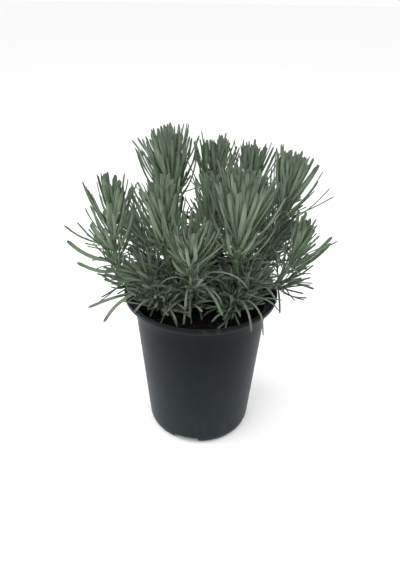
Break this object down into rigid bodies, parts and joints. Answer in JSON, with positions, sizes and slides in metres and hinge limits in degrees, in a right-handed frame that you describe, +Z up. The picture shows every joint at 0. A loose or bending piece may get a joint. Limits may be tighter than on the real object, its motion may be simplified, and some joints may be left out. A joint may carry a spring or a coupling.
{
  "type": "potted lavender",
  "caption": "Young bushy lavender with narrow grey-green leaves on upright shoots, growing in a tapered black nursery pot.",
  "frame": {"origin": "centre of the pot's flat underside, on the pot's axis", "axes": "+Z up along the pot's axis, -Y towards the front of the plant, +X to the plant's right as seen from the front"},
  "size_m": [0.218, 0.1811, 0.2591],
  "materials": {
    "pot": "black recycled plastic, satin-matt",
    "soil": "dark moist peat and bark crumbs",
    "bark": "young grey-brown bark",
    "foliage": "grey-green leaf with a fine felt"
  },
  "bodies": {
    "root": {"pot": "pot", "potting_soil": "soil", "shoot_back_centre": "foliage", "shoot_back_left": "foliage", "shoot_back_right": "foliage", "shoot_centre_left": "foliage", "shoot_centre_right": "foliage", "shoot_far_left": "foliage", "shoot_far_right": "foliage", "shoot_front": "foliage", "shoot_low_left": "foliage", "shoot_low_right": "foliage", "shoot_middle": "foliage", "shoot_rear_centre": "foliage", "shoot_rear_left": "foliage", "shoot_rear_right": "foliage", "shoot_right": "foliage", "shoot_rosette_left": "foliage", "shoot_rosette_right": "foliage", "shoot_side_left": "foliage", "shoot_side_right": "foliage", "stem_back_centre": "bark", "stem_back_left": "bark", "stem_back_right": "bark", "stem_centre_left": "bark", "stem_centre_right": "bark", "stem_far_left": "bark", "stem_far_right": "bark", "stem_front": "bark", "stem_low_left": "bark", "stem_low_right": "bark", "stem_middle": "bark", "stem_rear_centre": "bark", "stem_rear_left": "bark", "stem_rear_right": "bark", "stem_right": "bark", "stem_rosette_left": "bark", "stem_rosette_right": "bark", "stem_side_left": "bark", "stem_side_right": "bark"}
  },
  "joints": []
}
